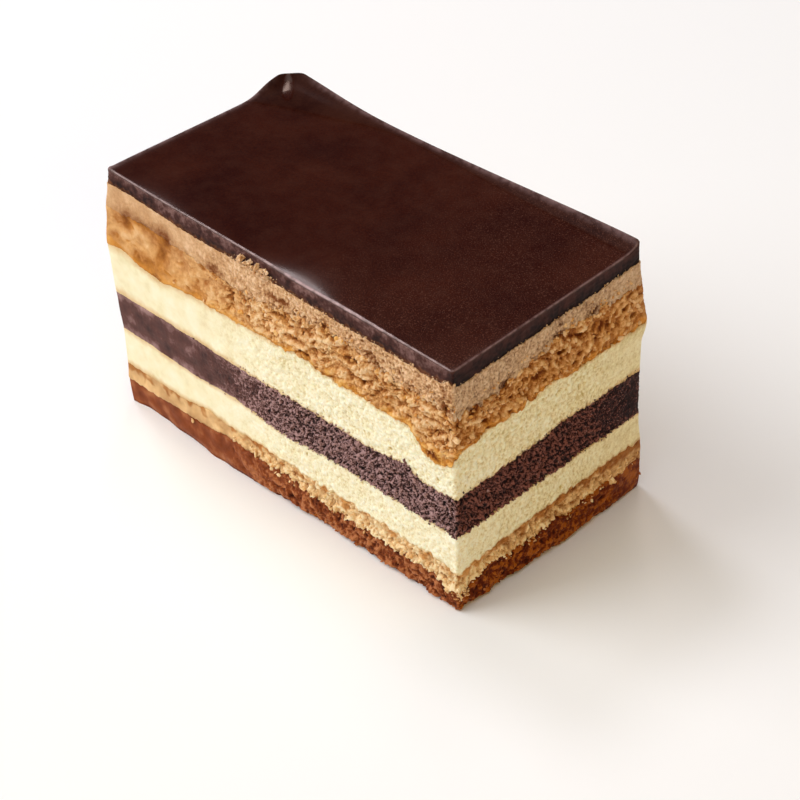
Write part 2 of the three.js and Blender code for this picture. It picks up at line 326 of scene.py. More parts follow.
def flakes(points, size, seed):
    """Torn flakes side by side: each lies at its own depth and is rounded towards its edges, 0 to about 1."""
    nearest = np.full(points.shape[:-1], np.inf)
    depth = np.zeros(points.shape[:-1])
    for number, squared in near_features(points, size, seed):
        depth = np.where(squared < nearest, number, depth)
        nearest = np.minimum(nearest, squared)
    return lerp(depth, nearest, FLAKE_ROUNDING)


def layered(kind, points, size, seed, octaves, fall):
    """Foam or flakes with finer and shallower ones on them, bent out of their grid. 0 to about 1."""
    total = np.zeros(points.shape[:-1])
    weights = 0
    for octave in range(octaves):
        fine = size / 2**octave
        weight = fall**-octave
        bent = warped(points, OCTAVE_BEND * fine, fine, seed + 4 * octave)
        total += weight * kind(bent, fine, seed + 4 * octave + 3)
        weights += weight
    return total / weights


def crumb(points, size, seed, octaves=3):
    """The relief of torn cake, from 0 on its tips over MEAN_CRUMB to about 1 in its bubbles."""
    torn = layered(flakes, points, size, seed, octaves, FLAKE_FALL)
    bubbles = layered(foam, points, BUBBLE_SCALE * size, seed + BUBBLE_SEED, BUBBLE_OCTAVES, BUBBLE_FALL)
    return lerp(torn, bubbles, BUBBLE_SHARE)


def pits(points, size, seed, share, radius):
    """1 in the middle of scattered round pits and 0 outside them. share is how many cells have one."""
    depth = np.zeros(points.shape[:-1])
    for number, squared in near_features(points, size, seed):
        reach = radius * (LEAST_PIT + number / share)
        depth = np.maximum(depth, np.where(number < share, 1 - smooth(np.sqrt(squared) / reach), 0))
    return depth


# ---- walls and meshes

FINE_PITCH = 0.145
COARSE_PITCH = 0.21
ROW_PITCH = 0.145
FACE_PITCHES = (FINE_PITCH, FINE_PITCH, COARSE_PITCH, COARSE_PITCH)
CORNER_STEPS = 6
TURN_REACH = 2.4
RIM_INSET = 2.2
MOST_INSET = 1.9
LEAST_ROWS = 4
LEVEL_HOLLOW = 0.35
SEAM_SEED = 11


def outline():
    """Stations round the bar, as columns: x, y, the wall's normal and the distance s along the outline."""
    stations = []
    for index, (corner_x, corner_y, radius) in enumerate(CORNERS):
        before, after = NORMALS[index - 1], NORMALS[index]
        start = along(FACES[index], 0)
        steps = CORNER_STEPS if radius == CUT_RADIUS else round(radius * math.pi / 2 / COARSE_PITCH)
        for part in np.linspace(0, 1, steps + 1):
            normal = before * math.cos(part * math.pi / 2) + after * math.sin(part * math.pi / 2)
            x = corner_x - math.copysign(radius, corner_x) + radius * normal[0]
            y = corner_y - math.copysign(radius, corner_y) + radius * normal[1]
            stations.append((x, y, *normal, start + radius * (2 * part - 1)))
        span = FACE_LENGTHS[index] - radius - CORNERS[(index + 1) % 4][2]
        steps = round(span / FACE_PITCHES[index])
        for distance in radius + span * np.arange(1, steps) / steps:
            x = corner_x - after[1] * distance
            y = corner_y + after[0] * distance
            stations.append((x, y, *after, start + distance))
    return np.array(stations).T


X, Y, NORMAL_X, NORMAL_Y, S = outline()
COUNT = len(S)


def inward_way():
    """For each station, the way in for relief: square to the wall, but fanned out round the corners."""
    way = np.stack([NORMAL_X, NORMAL_Y], axis=-1)
    wall = way.copy()
    for index, (_, _, radius) in enumerate(CORNERS):
        reach = max(radius, TURN_REACH)
        gap = (S - along(FACES[index], 0) + PERIMETER / 2) % PERIMETER - PERIMETER / 2
        near = np.abs(gap) < reach
        turn = (gap[near] + reach) / (2 * reach) * math.pi / 2
        before, after = NORMALS[index - 1], NORMALS[index]
        way[near] = np.cos(turn)[:, None] * before + np.sin(turn)[:, None] * after
    square = (way * wall).sum(axis=-1, keepdims=True)
    return -way / square


IN_X, IN_Y = inward_way().T

# How much of its relief each station keeps, and how crisp its crumb is.
CALM = 1 - local_sum(EDGE_CALM, S)
CRISP = CRISPEST - local_sum(SMEARS, S)


def seam_height(index):
    """Height of a seam at every station, with its ragged edge."""
    seam = SEAMS[index]
    turn = 2 * math.pi * S / PERIMETER
    waves = np.zeros_like(S)
    for n, count in enumerate(WAVE_COUNTS):
        phase = GOLDEN_ANGLE * (index * len(WAVE_COUNTS) + n)
        waves += np.sin(count * turn + phase) / (n + 1)
    depth = tilted(seam["corners"], X, Y) + local_sum(seam["dips"], S) + seam["sway"] * waves
    places = np.stack([X, Y, np.full_like(X, HEIGHT * index)], axis=-1)
    for amount, size in zip(seam["ragged"], RAGGED_SIZES):
        teeth = fractal(places, size, SEAM_SEED + index, 2)
        depth = depth + amount * lerp(SMEARED_RAGGED, 1, CRISP) * teeth
    return HEIGHT - depth


def glaze_height(x, y):
    """Height of the glaze's surface over the plan, as its solid has it."""
    from_back, from_left, from_right = HALF_Y - y, HALF_X + x, HALF_X - x

    def fall(distance, rise, corner):
        return rise * np.exp(-distance / RISE_WIDTH) + corner * np.exp(-distance / CORNER_WIDTH)

    back_rise = BACK_RISE + BACK_END_RISE * bell(from_right, BACK_END_REACH)
    back = fall(from_back, back_rise, CORNER_RISE * bell(from_left, CORNER_BACK_REACH))
    left = fall(from_left, LEFT_RISE, CORNER_RISE * bell(from_back, CORNER_LEFT_REACH, 4))
    return HEIGHT + tilted(GLAZE_TILT, x, y) + np.hypot(back, left)


def wall_grid(below, above):
    """Heights of a wall's grid, row by row, and how far up the wall each row is."""
    rows = max(LEAST_ROWS, round(float((above - below).mean()) / ROW_PITCH))
    part = np.linspace(0, 1, rows + 1)[:, None]
    return lerp(below, above, part), np.broadcast_to(part, (rows + 1, COUNT))


def wall_points(inset, z):
    """Points of a wall that stands back from the cut plane by an inset."""
    return settle(X + IN_X * inset, Y + IN_Y * inset, z)


def blurred(values, reach):
    """Values of a wall's grid averaged over the cells within a reach, round the bar and up the wall."""
    rows, columns = values.shape
    wide = np.concatenate([values[:, -reach:], values, values[:, :reach]], axis=1)
    wide = np.pad(wide, ((reach, reach), (0, 0)), mode="edge")
    steps = range(2 * reach + 1)
    total = sum(wide[step : rows + step] for step in steps)
    total = sum(total[:, step : columns + step] for step in steps)
    return total / len(steps) ** 2


def hollowness(inset, depth, reach=4):
    """How deep each place of a wall lies against those around it: LEVEL_HOLLOW if level, and 1 in holes.
    The layers' colour darkens with it, a painted shade.
    """
    return np.clip(LEVEL_HOLLOW + (inset - blurred(inset, reach)) / depth, 0, 1)


def smeared(values, crisp):
    """Values of a wall's grid, evened out where crisp is under 1 and sharpened where it's over that."""
    return lerp(blurred(values, SMEAR_CELLS), values, crisp)


def band(first, second, count):
    """Quads between two rings of the same count, given by their first vertex, the first ring lower."""
    i = np.arange(count)
    j = (i + 1) % count
    return np.stack([first + i, first + j, second + j, second + i], axis=-1)


def fan(ring, middle, count, up):
    """Triangles between a ring and a middle vertex, facing up or down."""
    i = np.arange(count)
    j = (i + 1) % count
    corners = [ring + i, ring + j, np.full(count, middle)]
    return np.stack(corners if up else corners[::-1], axis=-1)


def make_piece(name, points, faces, channels, materials, finishes=None, faceted=False):
    """A mesh piece from points in millimetres, lists of quads and triangles, and a number for each point in
    each channel. finishes says which of the materials each face has, and faceted leaves the faces flat."""
    mesh = bpy.data.meshes.new(name)
    mesh.vertices.add(len(points))
    mesh.vertices.foreach_set("co", (points * MM).astype(np.float32).ravel())
    sizes = np.concatenate([np.full(len(part), part.shape[1]) for part in faces])
    starts = np.concatenate([[0], np.cumsum(sizes)[:-1]])
    loops = np.concatenate([part.ravel() for part in faces])
    mesh.loops.add(len(loops))
    mesh.loops.foreach_set("vertex_index", loops.astype(np.int32))
    mesh.polygons.add(len(sizes))
    mesh.polygons.foreach_set("loop_start", starts.astype(np.int32))
    mesh.polygons.foreach_set("use_smooth", np.full(len(sizes), not faceted))
    for material in materials:
        mesh.materials.append(material)
    if finishes is not None:
        mesh.polygons.foreach_set("material_index", finishes.astype(np.int32))
    mesh.update(calc_edges=True)
    for channel, values in channels.items():
        attribute = mesh.attributes.new(channel, "FLOAT", "POINT")
        attribute.data.foreach_set("value", np.asarray(values, np.float32).ravel())
    piece = bpy.data.objects.new(name, mesh)
    bpy.context.scene.collection.objects.link(piece)
    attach(piece, "root")
    return piece


def wall_channel(values, z, points):
    """A number for each point of a piece from a wall's values, with zeros for the points after the wall."""
    return np.append(np.broadcast_to(values, z.shape), np.zeros(len(points) - z.size))


def closed_wall(grid, lower_rim, upper_rim):
    """Points and faces of a wall, closed inside the bar at both edges by a rim ring and a fan to a middle."""
    rows = len(grid)
    points = [grid.reshape(-1, 3)]
    faces = [band(row * COUNT, (row + 1) * COUNT, COUNT) for row in range(rows - 1)]
    start = rows * COUNT
    for rim, edge, up in ((lower_rim, 0, False), (upper_rim, (rows - 1) * COUNT, True)):
        points += [rim, rim.mean(axis=0, keepdims=True) * (0, 0, 1)]
        faces.append(band(edge, start, COUNT) if up else band(start, edge, COUNT))
        faces.append(fan(start, start + COUNT, COUNT, up))
        start += COUNT + 1
    return np.concatenate(points), faces


def layer_piece(name, below, above, relief, focus, material):
    """A layer as one closed mesh that replaces its solid. focus says how much crispness matters to it. Gives
    the grid of its wall."""
    crisp = CRISP**focus
    z, part = wall_grid(below, above)
    inset, shade_and_tone, soak_and_shade = relief(wall_points(0, z), part)
    grid = wall_points(np.minimum(smeared(inset, crisp) * CALM, MOST_INSET), z)
    points, faces = closed_wall(grid, wall_points(RIM_INSET, below), wall_points(RIM_INSET, above))
    # Painted shade: the tone channel darkens hollows, and the soak channel in some layers darkens the right
    # face.
    channels = {
        "shade_and_tone": wall_channel(smeared(np.clip(shade_and_tone, 0, 1), crisp), z, points),
        "soak_and_shade": wall_channel(soak_and_shade, z, points),
        "crisp": wall_channel(crisp, z, points),
    }
    piece = make_piece(name, points, faces, channels, [material])
    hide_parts(name)
    return grid


# ---- the layers' relief

# How far the torn crumb leans along the wall for each step up it.
SLANT = np.array([0.7, 0.7, 0])
LEAST_FRAY = 0.02
FACE_BLEND = 0.5

# Shares of the stations: the right face, which the layers draw in a darker, shaded colour, a painted shade;
# its far end, drawn darker still in most layers, also painted shade; its start at the near corner, drawn
# lighter, a painted highlight; the near end of the front face, drawn lighter, painted light; the coffee
# sponge's lobe there; and how smeared the crumb is.
ON_RIGHT = smooth(S - along("right", -FACE_BLEND)) * smooth(along("back", FACE_BLEND) - S)
RIGHT_END = smooth((S - along("right", 14)) / 18) * ON_RIGHT
RIGHT_START = bell(S - along("right", 0), 7) * ON_RIGHT
NEAR_CORNER = smooth((S - along("front", 30)) / 30) * (1 - ON_RIGHT) * (S < along("back", 0))
LOBE = bell(S - along("front", 62.8), 4)
SMEAR = local_sum(SMEARS, S) / CRISPEST


def stained(places):
    """How soaked the crumb is with coffee from the single stains."""
    depth = HEIGHT - places[..., 2]
    patchy = 1 + 0.5 * fractal(places, 1.0, 801, 2)
    total = np.zeros_like(depth)
    for face, stains in STAINS.items():
        for distance, middle, half_length, half_height, strength in stains:
            away = np.hypot((S - along(face, distance)) / half_length, (depth - middle) / half_height)
            total += strength * bell(away, 1, STAIN_SHARPNESS)
    return total * patchy


def edge_profile(part, low, middle, high):
    """How far a wall stands back at its lower edge, middle and upper edge, at each part of its height."""
    lower = lerp(low, middle, smooth(2 * part))
    upper = lerp(middle, high, smooth(2 * part - 1))
    return np.where(part < 0.5, lower, upper)


# Each relief gives how far the wall stands back; its tone, which is darker in hollows, holes and caves as
# painted shade; and how soaked it is, which in some layers holds painted shade on the right face instead.
# The number before a noise is its depth in millimetres, or its share of a tone. The numbers in it are its
# size in millimetres, its seed and its octaves. Pits also have the share of cells with one, and their radius
# in cells. warped has how far it pushes, in millimetres, before its size and seed.


def coffee_cream_relief(places, part):
    """Cream with upright knife drags, torn into crumb towards its lower edge."""
    stain = stained(places)
    grain = 0.1 * perlin(places, 0.36, 101)
    drags = 0.07 * perlin(places, oblong(0.4, 2.6), 103)
    swell = 0.1 * perlin(places, 5.0, 104)
    torn = smooth((0.55 - 0.3 * ON_RIGHT - part + 0.4 * fractal(places, 2.4, 105, 2)) / 0.35)
    rough = crumb(warped(places, 0.4, 1.0, 106), oblong(1.3, 1.0), 110) - MEAN_CRUMB
    inset = edge_profile(part, 0.1, 0.08, 0.02) + grain + drags + swell
    inset = inset + lerp(0.5, 1.0, torn) * lerp(1, 0.7, ON_RIGHT) * rough + 0.15 * stain
    mottle = 0.12 * fractal(places, oblong(2.2, 1.2), 115, 2) + 0.06 * torn - 0.06 * SMEAR
    # Painted shade: the soak here is the right face alone, which takes a darker, shaded colour.
    return inset, hollowness(inset, 0.5) + mottle + 1.1 * stain, ON_RIGHT


def coffee_sponge_relief(places, part):
    """Torn crumb with caves, and a soaked amber edge at the bottom."""
    stain = stained(places)
    torn = places - 0.6 * SLANT * places[..., 2:]
    body = crumb(warped(torn, 0.5, 1.8, 201), oblong(2.9, 1.9), 204, 4) - MEAN_CRUMB
    fine = perlin(places, 0.35, 220)
    broad = 0.28 * fractal(places, oblong(4.0, 2.4), 208, 2)
    cave = smooth((fractal(warped(places, 0.5, 1.4, 231), oblong(2.2, 1.3), 211, 2) - 0.48) / 0.4)
    rim = smooth((0.18 - part + 0.12 * fractal(places, 2.2, 214, 2)) / 0.16)
    calm = 1 - 0.5 * rim
    inset = edge_profile(part, 0.0, 0.12, 0.1) + broad
    inset = inset + calm * (1.5 * body + 0.1 * fine + 0.5 * cave) + 0.2 * stain
    lobe = LOBE * smooth((0.45 - part) / 0.25)
    tint = smooth((fractal(places, 2.8, 225, 2) - 0.1) / 0.5)
    low = smooth((0.6 - part) / 0.5)
    # Painted shade: the caves and the right face are drawn darker.
    soak_and_shade = 0.9 * rim + 0.4 * lobe + 0.4 * tint * low + 0.2 * low + 0.4 * cave + 0.9 * stain
    shade_and_tone = hollowness(inset, 0.8, 6) + 0.3 * calm * cave + 0.5 * stain + 0.15 * ON_RIGHT - 0.12 * lobe
    return inset, shade_and_tone, np.clip(soak_and_shade, 0, 1)


def pale_cream_relief(seed, depth):
    """Pale crumb, almost as smooth as cream: slanting fibres, a slow swell, and dents here and there. depth
    scales its fine crumb."""

    def frayed(part, width):
        return 1 - smooth(part / np.maximum(width, LEAST_FRAY))

    def relief(places, part):
        grain = 0.05 * fractal(places, 0.9, seed, 3)
        fibres = 0.05 * fractal(places - SLANT * places[..., 2:], oblong(0.8, 3.0), seed + 3, 2)
        swell = 0.08 * perlin(places, 4.2, seed + 4)
        fine = crumb(warped(places, 0.3, 0.8, seed + 6), 0.8, seed + 20, 3) - MEAN_CRUMB
        large = pits(warped(places, 0.3, 0.8, seed + 9), 2.6, seed + 12, 0.45, 0.15)
        inset = edge_profile(part, 0.05, 0.06, 0.08) + grain + fibres + swell
        inset = inset + depth * lerp(0.32, 0.46, ON_RIGHT) * fine + 0.2 * large
        ragged = fractal(places, 1.3, seed + 15, 2)
        blend = 0.14 * SMEAR
        foot = frayed(part, 0.07 + blend + 0.06 * ragged)
        head = frayed(1 - part, 0.08 + blend + 0.07 * ragged)
        # Painted shade: dents, the right face and its far end are drawn darker. Painted light: the right
        # face's start at the near corner and the front face's near end are drawn lighter.
        shade_and_tone = hollowness(inset, 0.5) + 0.25 * large + 0.07 * ON_RIGHT + 0.1 * RIGHT_END
        shade_and_tone = shade_and_tone - 0.16 * RIGHT_START - 0.08 * NEAR_CORNER
        return inset, shade_and_tone, np.maximum(0.8 * foot, 0.7 * head)

    return relief


def cocoa_sponge_relief(places, part):
    """Fine open crumb, with larger holes here and there."""
    body = crumb(warped(places, 0.3, 0.8, 410), 0.8, 404, 3) - MEAN_CRUMB
    fine = 0.18 * perlin(places, 0.32, 403)
    broad = 0.12 * perlin(places, oblong(2.4, 1.5), 407)
    hole = pits(warped(places, 0.2, 0.6, 401), 1.3, 415, 0.45, 0.26)
    inset = edge_profile(part, 0.08, 0.08, 0.06) + broad + fine
    inset = inset + body + 0.3 * hole
    # Painted shade: holes and the far end of the right face are drawn darker, and the right face takes a
    # shaded colour.
    mottle = 0.07 * fractal(places, oblong(2.0, 1.2), 420, 2) + 0.1 * SMEAR + 0.1 * RIGHT_END
    edge = (1 - smooth(part / 0.2)) + (1 - smooth((1 - part) / 0.2))
    return inset, hollowness(inset, 0.55) + 0.25 * hole + mottle - 0.3 * edge * SMEAR, ON_RIGHT


def plain_sponge_relief(places, part):
    """Crumb that stands out in ragged lumps along its lower edge and is stained amber along its upper one."""
    body = crumb(warped(places, 0.3, 0.9, 601), 1.4, 604) - MEAN_CRUMB
    broad = 0.14 * perlin(places, 2.6, 608)
    blotches = fractal(places, 2.2, 612, 2)
    tint = smooth((part - 0.5 + 0.35 * fractal(places, 1.6, 609, 2)) / 0.25)
    tint = tint * smooth((blotches + lerp(0.3, 1.0, ON_RIGHT)) / 0.6)
    inset = edge_profile(part, -0.1, 0.12, 0.1) + broad
    inset = inset + lerp(1.1, 0.8, tint) * body
    # Painted shade: the right face and its far end are drawn darker. Painted light: its start at the near
    # corner and the front face's near end are drawn lighter.
    tone = 0.14 * ON_RIGHT - 0.3 * RIGHT_START + 0.14 * RIGHT_END + 0.24 * SMEAR
    tone = tone - 0.12 * NEAR_CORNER
    return inset, hollowness(inset, 0.65) + tone, tint


def base_sponge_relief(places, part):
    """Dense soaked crumb, drawn in at its foot."""
    body = crumb(warped(places, 0.4, 1.2, 701), 1.6, 704) - MEAN_CRUMB
    broad = 0.16 * fractal(places, oblong(3.2, 1.8), 708, 2)
    hole = pits(warped(places, 0.3, 0.9, 710), 1.9, 713, 0.45, 0.28)
    foot = 1 - smooth(part / 0.16)
    inset = edge_profile(part, 0.05, 0.0, 0.12) - local_sum(BASE_SWELLS, S) + 0.4 * foot
    inset = inset + 0.8 * body + broad + 0.3 * hole
    # Painted shade: holes are drawn darker, and the right face takes a shaded colour. The far end of the
    # right face is drawn lighter.
    mottle = 0.16 * fractal(places, oblong(3.0, 1.5), 720, 2) - 0.15 * RIGHT_END
    return inset, hollowness(inset, 0.7) + 0.35 * hole + mottle, np.maximum(0.7 * foot, ON_RIGHT)


# The layers under the glaze: name, slot, relief, and how much crispness matters to them.
LAYERS = (
    ("coffee_cream", "coffee_buttercream", coffee_cream_relief, 1),
    ("coffee_sponge", "coffee_soaked_sponge", coffee_sponge_relief, 1),
    ("upper_cream", "pale_cream", pale_cream_relief(301, 1.0), 1.6),
    ("cocoa_sponge", "chocolate_sponge", cocoa_sponge_relief, 2),
    ("lower_cream", "pale_cream", pale_cream_relief(501, 0.5), 1.6),
    ("plain_sponge", "tan_sponge", plain_sponge_relief, 2),
    ("base_sponge", "soaked_base_sponge", base_sponge_relief, 2),
)

# ---- the glaze

CUT_RIM = 0.23
FULL_RIM = spots(front=[(43, 0.12, 12, 4)])
POURED_RIM = 0.42
RIM_STEPS = 6
# The painted highlight along the cut rims: its share over the rim's rings, and its least share away from the
# front's wide rim.
RIM_HIGHLIGHT_STEPS = (0.2, 0.7, 1, 1, 0.7, 0.2)
LEAST_RIM_HIGHLIGHT = 0.55
RIM_BLEND = 1.2
GLAZE_STAND = 0.1
NEAR_OFFSETS = (0.15, 0.35, 0.6, 0.95, 1.4)
CORE_EVERY = 2
CORE_RINGS = 70
CORE_START = 2.4
CORE_END = 0.985 * HALF_Y
WAVE_HEIGHT = 0.02
WAVE_SIZE = 9.0
EDGE_DROOP = 0.05
EDGE_DROOP_WIDTH = 1.0
GLOW_DROOPS = spots(front=[(39.2, 0.4, 5.2), (11, 0.2, 8)])
GLOW_DROOP_WIDTH = 1.9
GLOW_SWELL = 0.5
GLOW_SWELL_REACH = 4 * GLOW_DROOP_WIDTH
ROLL_REACH = 2 * GLOW_DROOP_WIDTH
ROLL_DULLNESS = 0.5
DUST_START = -4
DUST_REACH = 26
LIP_REACH = 1.2
LIP_RISE_START = 0.02
LIP_RISE_SPAN = 0.1
# The painted highlight along the poured edges: its share and reach, and the reach of the raised corner that
# it leaves out.
POURED_HIGHLIGHT = 0.5
POURED_HIGHLIGHT_REACH = 0.75
DARK_CORNER = 5.5

# The glossy patch of the raised corner: how far it is down from the corner and across, its half sizes, and
# where its soft edge starts and how wide that is, as shares of them.
STREAK = (4.3, -0.45, 2.5, 0.75)
STREAK_EDGE = (0.8, 0.45)

# Stations: how much they belong to the poured walls, their rim's radius, and where they're drawn in to.
IS_POURED = smooth(S - along("back", -FACE_BLEND)) * smooth(PERIMETER - S)
RIM_RADIUS = lerp(CUT_RIM, POURED_RIM, IS_POURED) + local_sum(FULL_RIM, S)
TARGET_X = np.clip(X, HALF_Y - HALF_X, HALF_X - HALF_Y)


def shrunk(distance):
    """The outline's plan, drawn in by a distance towards the bar's middle line."""
    reach = distance / HALF_Y
    return lerp(X, TARGET_X, reach), lerp(Y, 0, reach)


def glaze_surface(x, y):
    """The glaze's surface with its soft edges, a droop at the front edge and slow waves."""
    places = np.stack([x, y, np.zeros_like(x)], axis=-1)
    front, right = HALF_Y + y, HALF_X - x
    droop = EDGE_DROOP * np.maximum(np.exp(-front / EDGE_DROOP_WIDTH), np.exp(-right / EDGE_DROOP_WIDTH))
    roll = np.exp(-front / GLOW_DROOP_WIDTH) - GLOW_SWELL * bell(front, GLOW_SWELL_REACH)
    droop = droop + local_sum(GLOW_DROOPS, HALF_X + x) * roll
    return glaze_height(x, y) - droop + WAVE_HEIGHT * perlin(places, WAVE_SIZE, 21)


def glaze_ring(offset):
    """A ring of the poured top, at an offset in from its rounded rim. The rim's width is taken up nearby."""
    start = GLAZE_STAND + RIM_RADIUS
    height = glaze_surface(*shrunk(start + offset - start * np.exp(-offset / RIM_BLEND)))
    return settle(*shrunk(start + offset), height)


def dullness(x, y):
    """How much duller than the top the glaze is at a place: along its poured edges, and where it rolls over
    the front edge."""
    from_back, from_left, from_front = HALF_Y - y, HALF_X + x, HALF_Y + y
    edge = np.maximum(bell(from_back, LIP_REACH), bell(from_left, LIP_REACH))
    roll = bell(from_front, ROLL_REACH) * local_sum(GLOW_DROOPS, from_left) / GLOW_DROOPS[0][1]
    return np.maximum(edge, ROLL_DULLNESS * roll)


def poured_highlight(x, y):
    """A painted highlight: the pale line along the poured edges, which leaves out the raised corner."""
    from_back, from_left = HALF_Y - y, HALF_X + x
    edge = np.maximum(bell(from_back, POURED_HIGHLIGHT_REACH, 3), bell(from_left, POURED_HIGHLIGHT_REACH, 3))
    return POURED_HIGHLIGHT * edge * (1 - bell(np.hypot(from_back, from_left), DARK_CORNER, 4))


def lip_share(x, y):
    """How much a place belongs to the matt lips: the raised glaze, but not the glossy streak that runs down
    the middle of the raised corner."""
    rise = glaze_height(x, y) - HEIGHT - tilted(GLAZE_TILT, x, y)
    from_back, from_left = HALF_Y - y, HALF_X + x
    down = (from_back + from_left) / math.sqrt(2)
    across = (from_left - from_back) / math.sqrt(2)
    away = np.hypot((down - STREAK[0]) / STREAK[2], (across - STREAK[1]) / STREAK[3])
    return smooth((rise - LIP_RISE_START) / LIP_RISE_SPAN) * smooth((away - STREAK_EDGE[0]) / STREAK_EDGE[1])


def glaze_wall_relief(places, part):
    """The knife-cut wall: scratches along it, and crumb dragged into its lower edge."""
    scratches = 0.03 * perlin(places, oblong(1.6, 0.3), 31)
    swell = 0.05 * perlin(places, 3.0, 32)
    torn = smooth((0.3 - part + 0.2 * perlin(places, 0.9, 33)) / 0.2)
    ripple = scratches + swell + 0.25 * torn * (crumb(places, 0.6, 34, 2) - MEAN_CRUMB / 2)
    return GLAZE_STAND + ripple * (1 - smooth((part - 0.75) / 0.25)), torn


def glaze_rim(crest):
    """The rings of the rounded rim, from over the wall up to the poured top."""
    for turn in np.linspace(0, math.pi / 2, RIM_STEPS + 1)[1:]:
        plan = shrunk(GLAZE_STAND + RIM_RADIUS * (1 - math.cos(turn)))
        yield settle(*plan, crest - RIM_RADIUS * (1 - math.sin(turn)))


def glaze_core(first):
    """The poured top inside a full ring that starts at a vertex: rings of fewer stations, and a fan."""
    everything = np.arange(COUNT)
    keep = everything[::CORE_EVERY]
    kept = len(keep)
    base = first + COUNT
    inner = base + everything // CORE_EVERY % kept
    turned = np.arange(kept)
    last = first + np.append(keep[1:], 0)
    faces = [
        np.stack([first + everything, first + np.roll(everything, -1), inner], axis=-1),
        np.stack([last, base + (turned + 1) % kept, base + turned], axis=-1),
    ]
    faces += [band(base + row * kept, base + (row + 1) * kept, kept) for row in range(CORE_RINGS - 1)]
    middle = base + CORE_RINGS * kept
    faces.append(fan(middle - kept, middle, kept, True))
    rings = []
    for distance in np.linspace(CORE_START, CORE_END, CORE_RINGS):
        x, y = (row[keep] for row in shrunk(distance))
        rings.append(settle(x, y, glaze_surface(x, y)))
    zero = np.zeros(1)
    rings.append(settle(zero, zero, glaze_surface(zero, zero)))
    return rings, faces


def glaze_piece(materials):
    """The glaze as one closed mesh: its knife-cut wall, rounded rim and poured top. Gives its wall's grid."""
    below = seam_height(0)
    crest = glaze_ring(0)[:, 2]
    z, part = wall_grid(below, crest - RIM_RADIUS)
    inset, torn = glaze_wall_relief(wall_points(0, z), part)
    wall = wall_points(inset, z)
    rings = [*wall, *glaze_rim(crest), *(glaze_ring(offset) for offset in NEAR_OFFSETS)]
    faces = [band(row * COUNT, (row + 1) * COUNT, COUNT) for row in range(len(rings) - 1)]
    core, core_faces = glaze_core((len(rings) - 1) * COUNT)
    rings += core
    start = sum(len(ring) for ring in rings)
    foot = wall_points(RIM_INSET, below)
    rings += [foot, foot.mean(axis=0, keepdims=True) * (0, 0, 1)]
    faces += [*core_faces, band(start, 0, COUNT), fan(start, start + COUNT, COUNT, False)]

    points = np.concatenate(rings)
    x, y, _ = points.T
    # A painted highlight: the pale line along the cut rims, brightest at the front's wide rim.
    rim_highlight = (1 - IS_POURED) * lerp(LEAST_RIM_HIGHLIGHT, 1, local_sum(FULL_RIM, S) / FULL_RIM[0][1])
    rim = np.zeros(len(points))
    rim[z.size : z.size + RIM_STEPS * COUNT] = (rim_highlight * np.array([RIM_HIGHLIGHT_STEPS]).T).ravel()
    channels = {
        "rise": wall_channel(part, z, points),
        "torn": wall_channel(torn, z, points),
        "rim": np.maximum(rim, poured_highlight(x, y)),
        # Painted shade: this channel draws the right wall darker.
        "soaked_and_shaded": wall_channel(ON_RIGHT, z, points),
        "dust": smooth((x - DUST_START) / DUST_REACH),
        "dull": dullness(x, y),
        "lip": lip_share(x, y),
    }
    finishes = np.zeros(sum(len(part) for part in faces))
    finishes[: (len(z) - 1) * COUNT] = 1
    finishes[-2 * COUNT :] = 1
    piece = make_piece("glaze", points, faces, channels, materials, finishes)
    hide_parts("glaze")
    return wall


# ---- loose crumbs

ALL_ROUND = (0, PERIMETER)
LUMP_KINDS = 8
LUMP_SPACING = 10
LUMP_GRAIN = 1.1
LUMP_SEED = 900
LUMP_ROUGHNESS = 0.55
LUMP_STRETCH = (0.3, 1.2)
CRUMB_STAND = (-0.1, 0.3)
CRUMB_HOLLOW = (0, 0.42)
SMALL_BIAS = 2
CRISP_BIAS = 3
DRY_BIAS = 4

# The kinds of loose crumb: name, slot, fineness of their meshes, and the sets of places where they cling. A
# set has the layer, how many, their least and most size, and the part of the layer's height and the stretch
# of the outline that they keep to.
LOOSE = (
    ("sponge_flakes", "coffee_soaked_sponge", 2, (
        ("coffee_sponge", 650, (0.3, 0.85), (0.1, 1), ALL_ROUND),
        ("coffee_cream", 220, (0.25, 0.65), (0, 0.4), ALL_ROUND),
        ("coffee_sponge", 40, (0.4, 1.1), (0.1, 0.9), (60, 70)),
    )),
    ("cocoa_crumbs", "chocolate_sponge", 1, (
        ("upper_cream", 420, (0.14, 0.4), (0, 0.06), ALL_ROUND),
        ("upper_cream", 24, (0.25, 0.5), (0, 0.1), (57.3, 58.6)),
        ("lower_cream", 360, (0.14, 0.36), (0.94, 1), ALL_ROUND),
        ("cocoa_sponge", 700, (0.15, 0.4), (0.02, 0.98), ALL_ROUND),
    )),
    ("plain_crumbs", "tan_sponge", 1, (
        ("base_sponge", 160, (0.25, 0.9), (0.86, 1), ALL_ROUND),
        ("base_sponge", 40, (0.3, 0.8), (0.62, 1), (64, 68.4)),
        ("plain_sponge", 320, (0.3, 0.9), (0, 0.4), ALL_ROUND),
    )),
    ("coffee_crumbs", "coffee_buttercream", 1, (
        ("glaze", 70, (0.15, 0.4), (0, 0.4), (23, 35)),
        ("glaze", 70, (0.5, 1.3), (0.05, 0.6), (27, 33)),
        ("glaze", 420, (0.12, 0.36), (0, 0.12), ALL_ROUND),
        ("coffee_cream", 260, (0.15, 0.4), (0.05, 0.95), ALL_ROUND),
    )),
    ("base_crumbs", "soaked_base_sponge", 1, (
        ("base_sponge", 420, (0.25, 0.6), (0.05, 0.9), ALL_ROUND),
    )),
)


